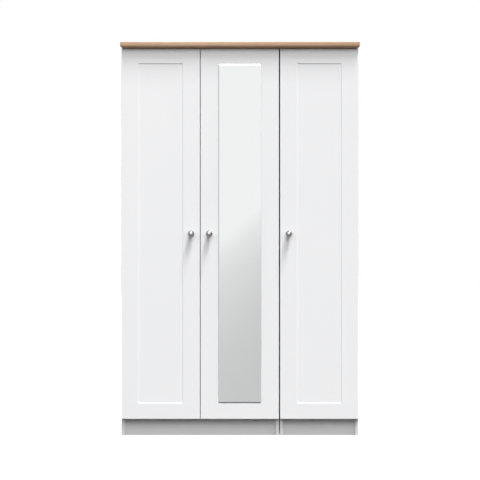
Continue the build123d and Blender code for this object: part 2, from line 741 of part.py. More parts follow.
def door_panel(name):
    """A foil-wrapped door with a sunk field, bored at the back for its hinges and its knob."""
    hinge_x, side = doors[name]
    middle_x = hinge_x - side * door_width / 2
    knob_x = hinge_x - side * (door_width - knob_from_edge)
    with BuildPart() as door:
        with BuildSketch(front_plane(door_front)):
            with Locations((middle_x, (door_bottom + door_top) / 2)):
                Rectangle(door_width, door_height)
        extrude(amount=-door_thickness)
        with BuildSketch(front_plane(door_front)):
            with Locations((middle_x, (field_bottom + field_top) / 2)):
                RectangleRounded(field_width, field_top - field_bottom, field_corner)
        extrude(amount=-field_depth, mode=Mode.SUBTRACT)
        field = door.faces().filter_by(Axis.Y).sort_by(Axis.Y)[1]
        fillet(field.edges(), field_cove)
        face = door.faces().filter_by(Axis.Y).sort_by(Axis.Y)[0]
        fillet(face.inner_wires()[0].edges(), field_lip_round)
        face = door.faces().filter_by(Axis.Y).sort_by(Axis.Y)[0]
        fillet(face.outer_wire().edges(), door_edge_round)
        with BuildSketch(front_plane(door_back)):
            with Locations(*[(hinge_x - side * cup_inset, z) for z in hinge_heights]):
                Circle((cup_diameter + cup_clearance) / 2)
        extrude(amount=cup_depth + cup_clearance, mode=Mode.SUBTRACT)
        with BuildSketch(front_plane(door_back)):
            for z in hinge_heights:
                with Locations((hinge_x + side * cup_screw_x, z)):
                    with GridLocations(0, cup_screw_spacing, 1, 2):
                        Circle((cup_screw_diameter + screw_clearance) / 2)
        extrude(amount=cup_screw_length - cup_wing_thickness + screw_clearance, mode=Mode.SUBTRACT)
        with BuildSketch(front_plane(door_back)):
            with Locations((knob_x, knob_height)):
                Circle((knob_screw_diameter + screw_clearance) / 2)
        extrude(amount=door_thickness, mode=Mode.SUBTRACT)
    finish(door, f"{name}_door")

    # The knob is turned: a foot, a waisted neck and a ball, tapped from behind.
    ball_centre = knob_reach - knob_diameter / 2
    ball_radius = knob_diameter / 2
    neck_radius = knob_neck_diameter / 2
    foot_radius = knob_foot_diameter / 2
    neck_end = ball_centre - (ball_radius**2 - neck_radius**2) ** 0.5
    with BuildPart() as knob:
        with BuildSketch(Plane.XZ):
            with BuildLine():
                Polyline((0, 0), (foot_radius, 0), (foot_radius, knob_foot_height))
                EllipticalCenterArc(
                    (foot_radius, neck_end),
                    foot_radius - neck_radius,
                    neck_end - knob_foot_height,
                    start_angle=180,
                    arc_size=90,
                )
                ThreePointArc(
                    (neck_radius, neck_end), (ball_radius, ball_centre), (0, knob_reach)
                )
                Line((0, knob_reach), (0, 0))
            make_face()
        revolve(axis=Axis.Z)
        with BuildSketch(Plane.XY):
            Circle((knob_screw_diameter + screw_clearance) / 2)
        extrude(amount=knob_screw_grip + screw_clearance, mode=Mode.SUBTRACT)
    with BuildPart() as placed_knob:
        knob_seat = Plane((knob_x, door_front, knob_height), x_dir=(1, 0, 0), z_dir=(0, -1, 0))
        add(knob_seat.location * knob.part)
    finish(placed_knob, f"{name}_knob")

    with BuildPart() as knob_screw:
        with BuildSketch(front_plane(door_back)):
            with Locations((knob_x, knob_height)):
                Circle(screw_head_diameter / 2)
        extrude(amount=-screw_head_height)
        with BuildSketch(front_plane(door_back)):
            with Locations((knob_x, knob_height)):
                Circle(knob_screw_diameter / 2)
        extrude(amount=door_thickness + knob_screw_grip)
    finish(knob_screw, f"{name}_knob_screw")

    bumper_x = hinge_x - side * (door_width - bumper_from_edge)
    bumper_heights = (
        plinth_height + board / 2,
        (carcass_height - board + door_top) / 2,
    )
    with BuildPart() as bumpers:
        with BuildSketch(front_plane(door_back)):
            with Locations(*[(bumper_x, z) for z in bumper_heights]):
                Circle(bumper_diameter / 2)
        extrude(amount=-bumper_thickness)
    finish(bumpers, f"{name}_bumpers")


for name in doors:
    door_panel(name)

# The mirror is stuck in the middle door's field and stands a little proud of the door.
with BuildPart() as mirror_glass:
    hinge_x, side = doors["middle"]
    glass_bottom = field_bottom + glass_bottom_gap
    glass_top = field_top - glass_top_gap
    with BuildSketch(front_plane(door_front + field_depth)):
        with Locations((hinge_x - side * door_width / 2, (glass_bottom + glass_top) / 2)):
            Rectangle(field_width - 2 * glass_side_gap, glass_top - glass_bottom)
    extrude(amount=glass_thickness)
    face = mirror_glass.faces().sort_by(Axis.Y)[0]
    chamfer(face.edges(), glass_bevel_width, glass_bevel_depth, reference=face)
finish(mirror_glass, "mirror_glass")
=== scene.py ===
import json
import math

import bmesh
import bpy
from mathutils import Matrix, Vector


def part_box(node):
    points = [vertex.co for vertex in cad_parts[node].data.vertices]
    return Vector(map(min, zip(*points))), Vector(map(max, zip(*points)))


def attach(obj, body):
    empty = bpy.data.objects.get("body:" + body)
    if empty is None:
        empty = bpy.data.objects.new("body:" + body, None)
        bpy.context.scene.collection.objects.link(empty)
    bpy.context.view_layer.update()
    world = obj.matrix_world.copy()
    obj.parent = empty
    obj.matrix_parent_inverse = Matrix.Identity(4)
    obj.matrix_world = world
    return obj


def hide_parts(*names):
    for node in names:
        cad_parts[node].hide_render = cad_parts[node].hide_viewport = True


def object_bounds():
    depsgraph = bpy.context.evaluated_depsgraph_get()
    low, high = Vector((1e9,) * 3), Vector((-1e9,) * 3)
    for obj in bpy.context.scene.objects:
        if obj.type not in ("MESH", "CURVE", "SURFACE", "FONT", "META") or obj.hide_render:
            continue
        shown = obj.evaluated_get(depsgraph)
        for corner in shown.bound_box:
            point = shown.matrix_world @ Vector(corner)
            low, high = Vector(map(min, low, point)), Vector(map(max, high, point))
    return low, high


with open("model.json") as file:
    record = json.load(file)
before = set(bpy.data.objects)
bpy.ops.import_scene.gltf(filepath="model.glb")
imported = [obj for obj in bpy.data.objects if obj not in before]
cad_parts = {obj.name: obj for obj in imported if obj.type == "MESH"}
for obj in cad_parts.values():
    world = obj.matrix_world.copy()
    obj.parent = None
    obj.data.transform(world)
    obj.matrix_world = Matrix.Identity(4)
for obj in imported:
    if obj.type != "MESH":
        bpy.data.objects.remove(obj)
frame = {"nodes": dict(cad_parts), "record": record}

cad_bounds = [list(corner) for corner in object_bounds()]
nodes = frame["nodes"]
DOORS = ("left", "middle", "right")
X, Y, Z = range(3)
RIGHT, LEFT, REAR, FRONT = (1, 0, 0), (-1, 0, 0), (0, 1, 0), (0, -1, 0)
UP, DOWN = (0, 0, 1), (0, 0, -1)
MICRON = 1e-6

# Ramps and roughnesses run between these values of a noise, which is rarely outside them.
NOISE_LOW = 0.3
NOISE_HIGH = 0.7


# ---- Node helpers -------------------------------------------------------------------------


class Nodes:
    """A node tree under construction. A colour may leave out its alpha."""

    def __init__(self, tree):
        self.tree = tree

    def add(self, kind, sockets=None, **settings):
        """A node with its settings made and its sockets filled or linked."""
        node = self.tree.nodes.new(kind)
        for key, value in settings.items():
            setattr(node, key, value)
        for key, value in (sockets or {}).items():
            self.feed(node.inputs[key], value)
        return node

    def feed(self, socket, value):
        if isinstance(value, bpy.types.NodeSocket):
            self.tree.links.new(value, socket)
        elif socket.type == "RGBA":
            socket.default_value = (*value[:3], 1.0)
        else:
            socket.default_value = value

    def math(self, operation, first, second):
        node = self.add("ShaderNodeMath", {0: first, 1: second}, operation=operation)
        return node.outputs["Value"]

    def total(self, *parts):
        """The sum of (value, weight) parts."""
        terms = [self.math("MULTIPLY", value, weight) for value, weight in parts]
        result = terms[0]
        for term in terms[1:]:
            result = self.math("ADD", result, term)
        return result

    def highest(self, first, *others):
        for other in others:
            first = self.math("MAXIMUM", first, other)
        return first

    def remap(self, value, low, high, to_low, to_high):
        """The value, rescaled and kept inside its new limits."""
        sockets = {
            "Value": value,
            "From Min": low,
            "From Max": high,
            "To Min": to_low,
            "To Max": to_high,
        }
        return self.add("ShaderNodeMapRange", sockets).outputs["Result"]

    def mix(self, factor, first, second, kind="RGBA"):
        """A blend of two colours or two vectors."""
        node = self.add("ShaderNodeMix", {"Factor": factor}, data_type=kind)
        sides = [side for side in node.inputs if side.type == kind and side.name in ("A", "B")]
        for side, value in zip(sides, (first, second)):
            self.feed(side, value)
        return next(socket for socket in node.outputs if socket.type == kind)

    def ramp(self, factor, stops):
        """A colour ramp with stops of (position, (r, g, b))."""
        node = self.add("ShaderNodeValToRGB", {"Fac": factor})
        band = node.color_ramp
        while len(band.elements) < len(stops):
            band.elements.new(1.0)
        for element, (position, colour) in zip(band.elements, stops):
            element.position = position
            element.color = (*colour, 1.0)
        return node.outputs["Color"]

    def seen(self):
        """1 for rays that see the set, straight or in metal and glass, and 0 for bounced light."""
        path = self.add("ShaderNodeLightPath")
        kinds = ("Is Camera Ray", "Is Glossy Ray", "Is Transmission Ray")
        return self.highest(*(path.outputs[kind] for kind in kinds))


class Surface(Nodes):
    """A procedural material under construction, its textures placed in the model's metres."""

    FACING = 0.6  # how squarely a face has to point along a direction to count

    def __init__(self, name, **constants):
        self.material = bpy.data.materials.new(name)
        self.material.use_nodes = True
        super().__init__(self.material.node_tree)
        self.shader = self.tree.nodes["Principled BSDF"]
        for socket, value in constants.items():
            self.feed(self.shader.inputs[socket.replace("_", " ")], value)
        self.place = self.add("ShaderNodeTexCoord").outputs["Object"]

    def stretched(self, scale, source=None):
        """The place, scaled by a different amount along each axis."""
        mapping = self.add("ShaderNodeMapping", {"Vector": source or self.place, "Scale": scale})
        return mapping.outputs["Vector"]

    def noise(self, scale, detail, source=None, distortion=0.0):
        sockets = {
            "Vector": source or self.place,
            "Scale": scale,
            "Detail": detail,
            "Distortion": distortion,
        }
        return self.add("ShaderNodeTexNoise", sockets).outputs["Fac"]

    def facing(self, direction):
        """1 on faces that point along the given direction, and 0 elsewhere."""
        normal = self.add("ShaderNodeNewGeometry").outputs["Normal"]
        dot = self.add("ShaderNodeVectorMath", {0: normal, 1: direction}, operation="DOT_PRODUCT")
        return self.math("GREATER_THAN", dot.outputs["Value"], self.FACING)

    def colour(self, value):
        self.feed(self.shader.inputs["Base Color"], value)

    def roughness(self, value, low, high):
        """A roughness between two limits, which follows a noise."""
        follows = self.remap(value, NOISE_LOW, NOISE_HIGH, low, high)
        self.feed(self.shader.inputs["Roughness"], follows)

    def bump(self, height, distance):
        """A relief that follows a value, its height in metres."""
        node = self.add("ShaderNodeBump", {"Height": height, "Distance": distance})
        self.feed(self.shader.inputs["Normal"], node.outputs["Normal"])

    def show(self, shader):
        """Shows another shader in place of the principled one."""
        self.feed(self.tree.nodes["Material Output"].inputs["Surface"], shader.outputs[0])


def grey(value):
    return (value, value, value)


def scaled(values, factor):
    return tuple(factor * value for value in values)


# ---- Materials ------------------------------------------------------------------------------


def between(dark, light):
    """The stops of a ramp from a noise's low values to its high ones."""
    return [(NOISE_LOW, dark), (NOISE_HIGH, light)]


OAK_TONES = (
    (0.36, (0.390, 0.226, 0.132)),
    (0.46, (0.505, 0.311, 0.188)),
    (0.55, (0.570, 0.367, 0.231)),
    (0.66, (0.655, 0.446, 0.297)),
)
OAK_FIBRE = (0.42, 0.255, 0.16)
OAK_PORE = (0.25, 0.15, 0.09)


def oak_foil():
    """Light oak with its grain along X, and along Y where the ends of the board are wrapped."""
    s = Surface("oak_foil", Specular_IOR_Level=0.35)
    turned = s.add("ShaderNodeMapping", {"Vector": s.place, "Rotation": (0, 0, math.pi / 2)})
    ends = s.highest(s.facing(RIGHT), s.facing(LEFT))
    along = s.mix(ends, s.place, turned.outputs["Vector"], kind="VECTOR")

    def grain(lengthwise, across, detail, distortion=0.0):
        """Noise drawn out along the grain. The first two are its waves in each metre."""
        return s.noise(1.0, detail, s.stretched((lengthwise, across, across), along), distortion)

    drift = grain(0.9, 9.0, 2)
    figure = grain(1.5, 42.0, 3, distortion=0.35)
    streaks = grain(4.0, 190.0, 3)
    fibres = grain(16.0, 700.0, 2)
    pores = grain(26.0, 1100.0, 1)

    wood = s.ramp(s.total((figure, 0.45), (streaks, 0.35), (drift, 0.20)), OAK_TONES)
    wood = s.mix(s.remap(fibres, 0.35, 0.7, 0.0, 0.25), wood, OAK_FIBRE)
    dark_pores = s.remap(pores, 0.58, 0.72, 0.0, 0.45)
    s.colour(s.mix(dark_pores, wood, OAK_PORE))
    s.roughness(fibres, 0.44, 0.54)
    s.bump(s.total((fibres, 0.4), (dark_pores, -1.0)), 80 * MICRON)
    return s.material


def door_foil():
    """Smooth white foil over fibreboard, with a very faint orange peel."""
    s = Surface("door_foil", Specular_IOR_Level=0.25)
    s.colour(s.ramp(s.noise(1.3, 2), between((0.855, 0.857, 0.868), (0.872, 0.873, 0.882))))
    s.roughness(s.noise(60.0, 3), 0.40, 0.47)
    s.bump(s.noise(420.0, 2), 20 * MICRON)
    return s.material


CHIP_TONES = (
    (0.35, (0.20, 0.13, 0.075)),
    (0.60, (0.42, 0.30, 0.19)),
    (0.95, (0.60, 0.47, 0.32)),
)


def chipboard(s):
    """The raw chipboard colour of cut edges, in flecks of light and dark wood."""
    cells = s.add("ShaderNodeTexVoronoi", {"Vector": s.place, "Scale": 420.0})
    return s.ramp(s.total((cells.outputs["Distance"], 0.6), (s.noise(900.0, 2), 1.0)), CHIP_TONES)


def white_board(name, front, raw_edges):
    """White melamine with a pearled face, a front side in a given grey and raw hidden edges."""
    s = Surface(name, Specular_IOR_Level=0.35)
    face = s.ramp(s.noise(1.7, 2), between((0.83, 0.835, 0.845), (0.85, 0.853, 0.86)))
    edging = s.mix(s.facing(FRONT), face, grey(front))
    raw = s.highest(*(s.facing(edge) for edge in raw_edges))
    s.colour(s.mix(raw, edging, chipboard(s)))
    pearl = s.noise(700.0, 1)
    s.roughness(pearl, 0.44, 0.56)
    s.bump(pearl, 40 * MICRON)
    return s.material


def back_sheet():
    """Hardboard, painted white towards the inside and left brown and fibrous outside."""
    s = Surface("back_sheet", Specular_IOR_Level=0.25)
    fibres = s.noise(1.0, 3, s.stretched((300.0, 300.0, 120.0)), distortion=1.5)
    brown = s.ramp(fibres, between((0.17, 0.095, 0.05), (0.30, 0.18, 0.10)))
    clouds = s.remap(s.noise(9.0, 3), 0.35, 0.7, 0.0, 0.4)
    brown = s.mix(clouds, brown, (0.33, 0.21, 0.125))
    s.colour(s.mix(s.facing(REAR), grey(0.80), brown))
    s.roughness(fibres, 0.55, 0.75)
    s.bump(fibres, 120 * MICRON)
    return s.material


GRAIN_FINER = 9  # waves of the grain for each wave of the drift


def metal(name, colour, low, high, waves=(90.0, 90.0, 90.0), grain=10 * MICRON, rim=1.0):
    """Plated metal with a fine grain, whose roughness drifts between two values.

    The waves are how often it drifts in each metre along each axis. The rim is how bright it is
    at grazing angles, from 0 to 1.
    """
    s = Surface(name, Metallic=1.0, Specular_Tint=grey(rim))
    drift = s.noise(1.0, 3, s.stretched(waves))
    s.colour(s.ramp(drift, between(scaled(colour, 0.93), colour)))
    s.roughness(drift, low, high)
    s.bump(s.noise(1.0, 2, s.stretched(scaled(waves, GRAIN_FINER))), grain)
    return s.material


def plastic(name, colour, rough, grain):
    """Moulded plastic with a soft tooth."""
    s = Surface(name)
    drift = s.noise(40.0, 2)
    s.colour(s.ramp(drift, between(scaled(colour, 0.96), colour)))
    s.roughness(drift, rough - 0.05, rough + 0.05)
    s.bump(s.noise(1400.0, 1), grain)
    return s.material


def beech():
    """Bare beech dowels with short pale and dark flecks."""
    s = Surface("beech", Specular_IOR_Level=0.3)
    flecks = s.noise(1.0, 3, s.stretched((60.0, 500.0, 500.0)))
    s.colour(s.ramp(flecks, between((0.48, 0.33, 0.20), (0.66, 0.50, 0.34))))
    s.roughness(flecks, 0.6, 0.75)
    s.bump(flecks, 60 * MICRON)
    return s.material


def mirror_silver():
    """Silvered glass: a bright reflector with the faintest haze."""
    s = Surface("mirror_silver", Metallic=1.0)
    s.colour(s.ramp(s.noise(3.0, 2), between((0.930, 0.938, 0.938), (0.942, 0.948, 0.948))))
    s.roughness(s.noise(14.0, 2), 0.0, 0.012)
    return s.material


FINISHES = {
    "oak_top": oak_foil(),
    "door_foil": door_foil(),
    "white_board": white_board("level_board", 0.84, (LEFT, RIGHT, REAR)),
    "back_sheet": back_sheet(),
    "mirror_glass": mirror_silver(),
    # Darker than plain chrome, with an almost black rim: painted dark reflection round the knobs.
    "knob_chrome": metal(
        "knob_chrome",
        (0.44, 0.44, 0.435),
        0.04,
        0.08,
        waves=(60.0, 60.0, 60.0),
        grain=1 * MICRON,
        rim=0.05,
    ),
    "rail_chrome": metal(
        "rail_chrome", (0.82, 0.825, 0.84), 0.08, 0.16, waves=(4.0, 160.0, 160.0)
    ),
    "cam_zinc": metal("cam_zinc", (0.62, 0.62, 0.63), 0.34, 0.46),
    "hinge_nickel": metal("hinge_nickel", (0.76, 0.745, 0.72), 0.20, 0.32),
    "screw_steel": metal("screw_steel", (0.70, 0.70, 0.69), 0.22, 0.36),
    "bright_steel": metal("bright_steel", (0.74, 0.745, 0.76), 0.18, 0.30),
    "beech_dowel": beech(),
    "white_plastic": plastic("white_plastic", (0.82, 0.82, 0.815), 0.38, 30 * MICRON),
    "bumper_clear": plastic("bumper_clear", (0.74, 0.75, 0.74), 0.25, 20 * MICRON),
}
# The uprights and the plinth are greyer on their front sides than the level boards.
upright_board = white_board("upright_board", 0.71, (UP, DOWN, REAR))
plinth_board = white_board("plinth_board", 0.79, (UP, DOWN, LEFT, RIGHT))

for subpart in frame["record"]["subparts"]:
    name = subpart["node"]
    finish = FINISHES[subpart["material_slot"]]
    if name.endswith("_side"):
        finish = upright_board
    elif name.endswith("_plinth"):
        finish = plinth_board
    nodes[name].data.materials.clear()
    nodes[name].data.materials.append(finish)

# ---- Screws and nails -----------------------------------------------------------------------

SAME_POINT = 1e-6


def limits(points):
    """The low and high corners of a box round the points."""
    return [Vector([end(p[i] for p in points) for i in (X, Y, Z)]) for end in (min, max)]


def islands(name):
    """The vertices of each separate solid of a node, the solids in order of their low corners."""
    source = bmesh.new()
    source.from_mesh(nodes[name].data)
    bmesh.ops.remove_doubles(source, verts=source.verts, dist=SAME_POINT)
    left_over = set(source.verts)
    found = []
    while left_over:
        reached = [left_over.pop()]
        for vert in reached:
            for edge in vert.link_edges:
                other = edge.other_vert(vert)
                if other in left_over:
                    left_over.remove(other)
                    reached.append(other)
        found.append([vert.co.copy() for vert in reached])
    source.free()
    return sorted(found, key=lambda solid: tuple(limits(solid)[0]))


def circle(count):
    """Points evenly spaced round a circle of radius 1."""
    turns = [math.tau * i / count for i in range(count)]
    return [(math.cos(angle), math.sin(angle)) for angle in turns]


def ring(mesh, radius, height, count):
    """A closed ring of vertices round Z."""
    return [mesh.verts.new((radius * x, radius * y, height)) for x, y in circle(count)]


def skin(mesh, first, second):
    """Faces between two rings of the same count."""
    for i in range(len(first)):
        j = (i + 1) % len(first)
        mesh.faces.new((first[i], first[j], second[j], second[i]))


def skin_to_half(mesh, fine, coarse):
    """Faces between a ring and one with half as many vertices."""
    for i in range(len(coarse)):
        j = (i + 1) % len(coarse)
        ahead = fine[(2 * i + 2) % len(fine)]
        mesh.faces.new((fine[2 * i], fine[2 * i + 1], coarse[i]))
        mesh.faces.new((fine[2 * i + 1], coarse[j], coarse[i]))
        mesh.faces.new((fine[2 * i + 1], ahead, coarse[j]))


def cross(mesh, arm, width, height):
    """The outline of a cross recess: four arms of a half length and a half width."""
    points = []
    for quarter in range(4):
        turn = Matrix.Rotation(quarter * math.pi / 2, 2)
        points += [turn @ Vector(p) for p in ((arm, -width), (arm, width), (width, width))]
    return [mesh.verts.new((*point, height)) for point in points]


THREAD_SIDES = 12
HEAD_SIDES = 2 * THREAD_SIDES
THREAD_STEPS = 4  # rings in each turn of a thread
THREAD_ROOT = 0.74  # as a share of the thread's outer radius
CREST_WIDTH = 0.25  # half a crest's width, as a share of the pitch
POINT_LENGTH = 2.2  # in outer radii
POINT_TIP = 0.06  # a wood screw's last radius, as a share of the outer one
BLUNT_TIP = 0.7  # a machine screw's last radius, as a share of the outer one

# From the rim under the head to the edge of its flat top, as shares of its radius and height.
HEAD_OUTLINE = ((1.0, 1.0), (1.0, 0.55), (0.93, 0.22), (0.78, 0.04), (0.70, 0.0))

# The cross recess: its arms' half lengths and half widths, as shares of the head's radius.
RECESS_MOUTH = (0.56, 0.12)
RECESS_FOOT = (0.32, 0.07)
RECESS_DEPTH = 0.8  # as a share of the head's height


def as_data(mesh, name):
    """The mesh data of an edit mesh, which is freed."""
    data = bpy.data.meshes.new(name)
    mesh.to_mesh(data)
    mesh.free()
    return data


def screw_head(mesh, radius, height):
    """A head with a cross recess and its top at the origin. It returns the rim under the head."""
    rings = [ring(mesh, r * radius, -h * height, HEAD_SIDES) for r, h in HEAD_OUTLINE]
    for lower, upper in zip(rings, rings[1:]):
        skin(mesh, lower, upper)
    mouth = cross(mesh, *(share * radius for share in RECESS_MOUTH), 0.0)
    foot = cross(mesh, *(share * radius for share in RECESS_FOOT), -RECESS_DEPTH * height)
    skin(mesh, mouth, foot)
    mesh.faces.new(foot)
    loops = [mesh.edges.get((r[i - 1], r[i])) for r in (rings[-1], mouth) for i in range(len(r))]
    bmesh.ops.triangle_fill(mesh, use_beauty=True, edges=loops)
    return rings[0]


def screw_template(head_radius, head_height, shank_radius, length, pitch, pointed):
    """A cross-recessed screw with its head's top at the origin and its thread down -Z."""
    mesh = bmesh.new()
    rim = screw_head(mesh, head_radius, head_height)
    count = max(2, round((length - head_height) / pitch * THREAD_STEPS))
    previous = None
    for step in range(count + 1):
        depth = head_height + (length - head_height) * step / count
        left = length - depth
        if pointed:
            taper = max(min(1.0, left / (POINT_LENGTH * shank_radius)), POINT_TIP)
        else:
            taper = min(1.0, BLUNT_TIP + left / pitch)
        verts = []
        for i, (x, y) in enumerate(circle(THREAD_SIDES)):
            phase = ((depth - head_height) / pitch + i / THREAD_SIDES) % 1.0
            crest = max(0.0, 1.0 - abs(phase - 0.5) / CREST_WIDTH)
            radius = shank_radius * (THREAD_ROOT + (1.0 - THREAD_ROOT) * crest) * taper
            verts.append(mesh.verts.new((radius * x, radius * y, -depth)))
        if previous:
            skin(mesh, verts, previous)
        else:
            skin_to_half(mesh, rim, verts)
        previous = verts
    mesh.faces.new(list(reversed(previous)))
    bmesh.ops.recalc_face_normals(mesh, faces=mesh.faces)
    return as_data(mesh, "screw")


SMOOTH_BELOW = math.radians(40.0)


def repeated(name, template, places, finish, body):
    """One piece made of a template at several places."""
    mesh = bmesh.new()
    for place in places:
        start = len(mesh.verts)
        mesh.from_mesh(template)
        mesh.verts.ensure_lookup_table()
        bmesh.ops.transform(mesh, matrix=place, verts=mesh.verts[start:])
    data = as_data(mesh, name)
    piece = bpy.data.objects.new(name, data)
    bpy.context.scene.collection.objects.link(piece)
    data.materials.append(FINISHES[finish])
    data.shade_smooth()
    data.set_sharp_from_angle(angle=SMOOTH_BELOW)
    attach(piece, body)
    return piece


HEAD_RIM = 0.98  # points further out than this share of the head's radius are on its rim
SHANK_END = 0.1  # the share of the length next to the tip in which the shank is measured
TURN_STEP = 0.9  # radians between one screw's recess and the next


def plain_screw(solid, axis):
    """The middle of a plain screw's head top, the way the head faces, and the screw's sizes."""
    low, high = limits(solid)
    middle = (low + high) / 2
    length = high[axis] - low[axis]
    across = [i for i in (X, Y, Z) if i != axis]
    reach = [(max(abs(p[i] - middle[i]) for i in across), p[axis]) for p in solid]
    head_radius = max(reach)[0]
    rim_places = [at for r, at in reach if r > HEAD_RIM * head_radius]
    head_height = max(rim_places) - min(rim_places)
    head_up = sum(rim_places) / len(rim_places) > middle[axis]
    head_end, tip = (high, low) if head_up else (low, high)
    shank_radius = max(r for r, at in reach if abs(at - tip[axis]) < SHANK_END * length)
    top = middle.copy()
    top[axis] = head_end[axis]
    outward = Vector((0, 0, 0))
    outward[axis] = 1 if head_up else -1
    return top, outward, (head_radius, head_height, shank_radius, length)


def screws(node, axis, body, finish, pitch, pointed):
    """Cross-recessed screws that stand for a node's plain ones, alike and along one axis."""
    plain = [plain_screw(solid, axis) for solid in islands(node)]
    places = []
    for top, outward, _ in plain:
        facing = outward.to_track_quat("Z", "Y").to_matrix().to_4x4()
        turn = Matrix.Rotation(TURN_STEP * len(places), 4, "Z")
        places.append(Matrix.Translation(top) @ facing @ turn)
    template = screw_template(*plain[-1][2], pitch, pointed)
    piece = repeated(f"{node}_crosshead", template, places, finish, body)
    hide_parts(node)


WOOD_PITCH = 0.0016
MACHINE_PITCH = 0.0008
screws("hinge_plate_screws", X, "carcass", "screw_steel", WOOD_PITCH, pointed=True)
screws("hinge_arm_screws", X, "carcass", "screw_steel", MACHINE_PITCH, pointed=False)
screws("top_screws", Z, "carcass", "screw_steel", WOOD_PITCH, pointed=True)
for door in DOORS:
    body = f"{door}_door"
    screws(f"{door}_cup_screws", Y, body, "screw_steel", WOOD_PITCH, pointed=True)
    screws(f"{door}_knob_screw", Y, body, "screw_steel", MACHINE_PITCH, pointed=False)

NAIL_SIDES = 12
NAIL_HEAD = 0.0023
NAIL_SHANK = 0.0006
NAIL_TIP = 0.0001
NAIL_LENGTH = 0.018
NAIL_POINT = 3 * NAIL_SHANK
NAIL_PROUD = 0.0007
NAIL_SPACING = 0.15
NAIL_INSET = 0.0062

# From the tip to the middle of the domed head, as radii and heights.
NAIL_OUTLINE = (
    (NAIL_TIP, -NAIL_LENGTH),
    (NAIL_SHANK, -NAIL_LENGTH + NAIL_POINT),
    (NAIL_SHANK, 0.0),
    (NAIL_HEAD, 0.0),
    (0.96 * NAIL_HEAD, 0.45 * NAIL_PROUD),
    (0.68 * NAIL_HEAD, 0.85 * NAIL_PROUD),
    (0.30 * NAIL_HEAD, NAIL_PROUD),
)


def nail_template():
    """A nail with its shank down -Z, its head seated on the origin."""
    mesh = bmesh.new()
    rings = [ring(mesh, radius, height, NAIL_SIDES) for radius, height in NAIL_OUTLINE]
    for lower, upper in zip(rings, rings[1:]):
        skin(mesh, lower, upper)
    mesh.faces.new(rings[-1])
    mesh.faces.new(list(reversed(rings[0])))
    return as_data(mesh, "nail")


def evenly(first, last):
    """Evenly spaced values from the first to the last, about a nail's spacing apart."""
    count = round((last - first) / NAIL_SPACING)
    return [first + (last - first) * i / count for i in range(count + 1)]


def nails(sheet):
    """The places of the nails round the edges of a back sheet."""
    low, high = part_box(sheet)
    to_rear = Matrix.Rotation(-math.pi / 2, 4, "X")
    columns = evenly(low.x + NAIL_INSET, high.x - NAIL_INSET)
    rows = evenly(low.z + NAIL_INSET, high.z - NAIL_INSET)
    points = [(x, z) for x in columns for z in (rows[0], rows[-1])]
    points += [(x, z) for x in (columns[0], columns[-1]) for z in rows[1:-1]]
    return [Matrix.Translation((x, high.y, z)) @ to_rear for x, z in points]


nail_places = nails("double_back") + nails("single_back")
repeated("back_sheet_nails", nail_template(), nail_places, "screw_steel", "carcass")

# ---- Stage -----------------------------------------------------------------------------------

floor_height = cad_bounds[0][Z]
door_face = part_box("left_door")[0].y
RECTANGLE = [(0, 1, 2, 3)]


def stage_mesh(name, corners, faces, surface):
    """A part of the set, made of flat faces."""
    mesh = bpy.data.meshes.new(name)
    mesh.from_pydata(corners, [], faces)
    mesh.materials.append(surface.material)
    made = bpy.data.objects.new(name, mesh)
    bpy.context.scene.collection.objects.link(made)
    return made


def level(left, right, front, rear, height):
    """The corners of a level rectangle."""
    plan = ((left, front), (right, front), (right, rear), (left, rear))
    return [(x, y, height) for x, y in plan]


# The floor is pale to the camera and in mirrors, and throws little light back up.
FLOOR_HALF = 30.0
FLOOR_COLOUR = 0.80
FLOOR_BOUNCE = 0.03
FLOOR_LIFT = 0.50
ground = Surface("studio_floor", Roughness=0.8, Specular_IOR_Level=0.0, Emission_Color=grey(1))
ground_seen = ground.seen()
ground.colour(ground.mix(ground_seen, grey(FLOOR_BOUNCE), grey(FLOOR_COLOUR)))
lift = ground.math("MULTIPLY", ground_seen, FLOOR_LIFT)
ground.feed(ground.shader.inputs["Emission Strength"], lift)
floor_corners = level(-FLOOR_HALF, FLOOR_HALF, -FLOOR_HALF, FLOOR_HALF, floor_height)
stage_mesh("floor", floor_corners, RECTANGLE, ground)


def reflected_screen(name, corners, faces, surface, colour):
    """A screen that shines with a colour, and shows only in metal, glass and gloss."""
    surface.show(surface.add("ShaderNodeEmission", {"Color": colour}))
    screen = stage_mesh(name, corners, faces, surface)
    screen.visible_camera = False
    screen.visible_diffuse = False
    screen.visible_shadow = False


# A sweep runs out from the doors over the floor, and rises gently to a low wall. It is grey below
# and pale above a soft edge, which slants up to the right as far as a place and is level from
# there. It is dark close to the doors, a painted shade on the floor that shows in the mirror and
# on the knobs, and a middle grey far to the left. The mirror, its bevels and the knobs get their
# shades from it.
SWEEP_HALF = 9.0
SWEEP_START = 0.02
SWEEP_CLEAR = 0.002  # over the floor
SWEEP_FLAT = 1.2
SWEEP_DEPTH = 9.0
SWEEP_LOW = 0.70
SWEEP_LEAN = 0.05
SWEEP_TOP = 3.2
SOFT_EDGE_RISE = 1.2  # the height that the places of its shades are shares of
SOFT_EDGE_SLANT = 0.8  # up for each metre to the right
SOFT_EDGE_LEVEL_FROM = 0.25  # from here to the right the soft edge is level
SOFT_EDGE_SHADES = (
    (0.04, 0.60),
    (0.25, 0.64),
    (0.55, 0.74),
    (0.72, 0.82),
    (0.80, 0.88),
    (0.87, 0.93),
)
FAR_LEFT = (-0.30, -0.45)  # sideways for each metre out from the doors
FAR_LEFT_SHADE = 0.62
# The painted shade close to the doors fades out between these distances.
CLOSE_BY = (0.2, 0.8)  # metres out from the doors
CLOSE_BY_SHADE = 0.16
sweep = Surface("reflected_sweep")
split = sweep.add("ShaderNodeSeparateXYZ", {0: sweep.place})
ahead = sweep.math("SUBTRACT", door_face, split.outputs["Y"])
slanting_x = sweep.math("MINIMUM", split.outputs["X"], SOFT_EDGE_LEVEL_FROM)
slant = sweep.math("MULTIPLY", slanting_x, SOFT_EDGE_SLANT)
slanted = sweep.math("SUBTRACT", split.outputs["Z"], slant)
edge_stops = [(at, grey(value)) for at, value in SOFT_EDGE_SHADES]
